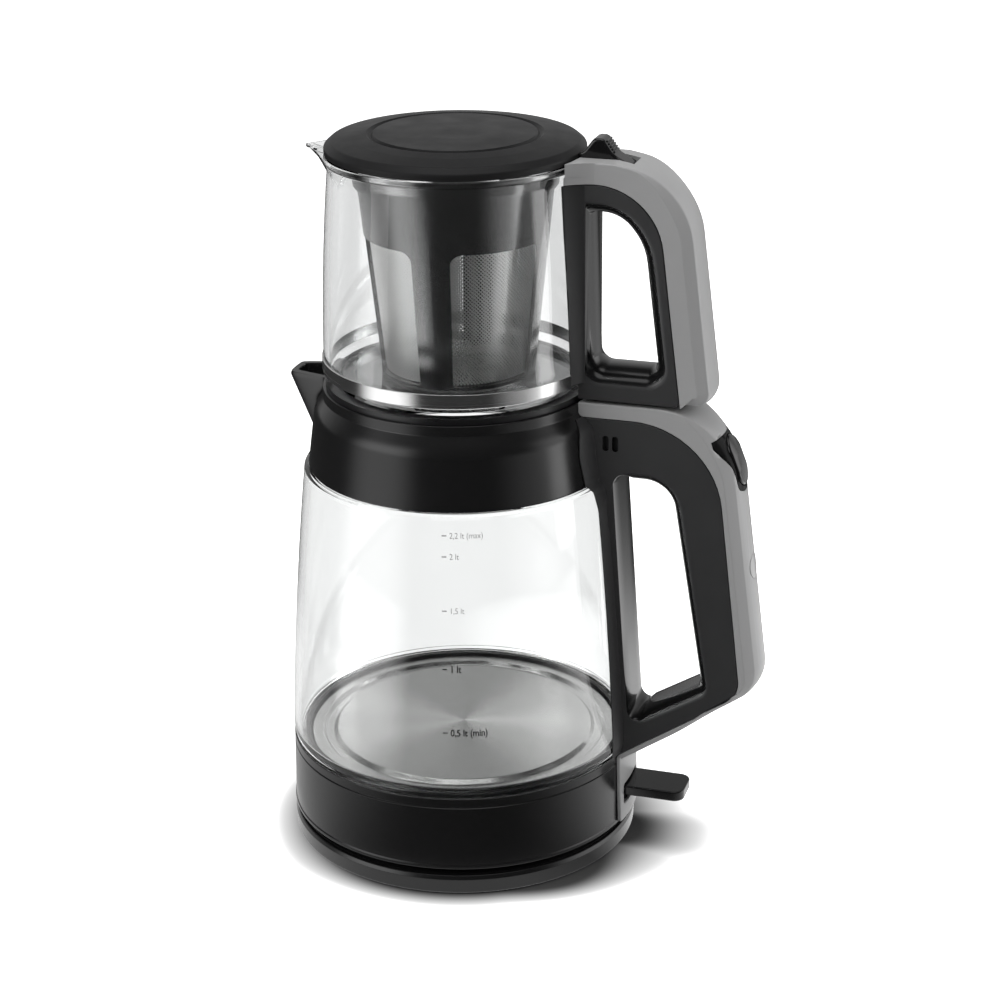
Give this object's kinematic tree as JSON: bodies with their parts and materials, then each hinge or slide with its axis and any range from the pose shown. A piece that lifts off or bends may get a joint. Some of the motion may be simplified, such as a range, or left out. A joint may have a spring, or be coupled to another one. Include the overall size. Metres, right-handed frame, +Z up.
{
  "type": "automatic tea maker",
  "caption": "Automatic tea maker: glass kettle with heater on a cordless power base, carrying a glass teapot with steel mesh infuser and hinged lid; grey and black handles.",
  "frame": {"origin": "the point where the kettle's vertical axis meets the table, level with the undersides of the feet", "axes": "+Z up along the kettle's axis, +X towards both handles, the spouts point to -X, +Y completes a right-handed frame and is where the cord would leave the base"},
  "size_m": [0.2281, 0.1648, 0.3405],
  "materials": {
    "gloss_black": "polished",
    "satin_black": "satin",
    "matte_black": "matte",
    "handle_black": "semi-gloss",
    "lid_charcoal": "fine texture",
    "cover_grey": "satin",
    "lens_grey": "satin",
    "clear_glass": "clear",
    "brushed_plate": "radial brushed",
    "brushed_band": "brushed",
    "mesh_steel": "woven",
    "element_steel": "matte",
    "zinc_steel": "plain",
    "diffuser_aluminium": "rolled",
    "brass_contact": "plain",
    "rubber_black": "matte",
    "seal_black": "matte",
    "board_green": "matte"
  },
  "bodies": {
    "power_base": {"base_shell": "gloss_black", "base_bottom_plate": "matte_black", "base_feet": "rubber_black", "base_screws": "zinc_steel", "socket_contacts": "brass_contact", "cord_gland": "rubber_black"},
    "socket_turntable": {"base_socket": "matte_black"},
    "kettle": {"kettle_base_shell": "gloss_black", "kettle_bottom_plate": "matte_black", "kettle_screws": "zinc_steel", "kettle_plug": "matte_black", "plug_contacts": "brass_contact", "heater_plate": "brushed_plate", "plate_seal": "seal_black", "heat_diffuser": "diffuser_aluminium", "heating_element": "element_steel", "kettle_glass": "clear_glass", "spout_collar": "gloss_black", "collar_seal": "seal_black", "steam_ring": "satin_black", "kettle_handle_frame": "handle_black", "kettle_handle_cover": "cover_grey", "button_board": "board_green", "button_switch": "matte_black", "indicator_lens": "lens_grey", "led_board": "board_green", "switch_block": "matte_black", "steam_switch": "matte_black", "lever_pin": "zinc_steel"},
    "switch_lever": {"switch_lever": "gloss_black"},
    "mode_button": {"mode_button": "gloss_black"},
    "teapot": {"teapot_glass": "clear_glass", "teapot_band": "brushed_band", "teapot_handle_frame": "handle_black", "teapot_handle_cover": "cover_grey", "hinge_pin": "zinc_steel", "infuser_frame": "gloss_black", "infuser_mesh": "mesh_steel"},
    "lid": {"lid_cover": "lid_charcoal", "lid_liner": "matte_black"}
  },
  "joints": [
    {"name": "kettle_spin", "type": "hinge", "parent": "power_base", "child": "socket_turntable", "pos_m": [0, 0, 0], "axis": [0, 0, 1], "continuous": true},
    {"name": "kettle_lift", "type": "slide", "parent": "socket_turntable", "child": "kettle", "axis": [0, 0, 1], "range_m": [0, 0.05]},
    {"name": "switch_rock", "type": "hinge", "parent": "kettle", "child": "switch_lever", "pos_m": [0.072, 0, 0.0275], "axis": [0, 1, 0], "range_deg": [0, 12]},
    {"name": "button_press", "type": "slide", "parent": "kettle", "child": "mode_button", "axis": [-0.9336, 0, -0.3584], "range_m": [0, 0.0012], "stiffness_N_per_m": 400, "springref_m": -0.001},
    {"name": "teapot_lift", "type": "slide", "parent": "kettle", "child": "teapot", "axis": [0, 0, 1], "range_m": [0, 0.1]},
    {"name": "lid_hinge", "type": "hinge", "parent": "teapot", "child": "lid", "pos_m": [0.0778, 0, 0.3273], "axis": [0, 1, 0], "range_deg": [0, 75]}
  ]
}
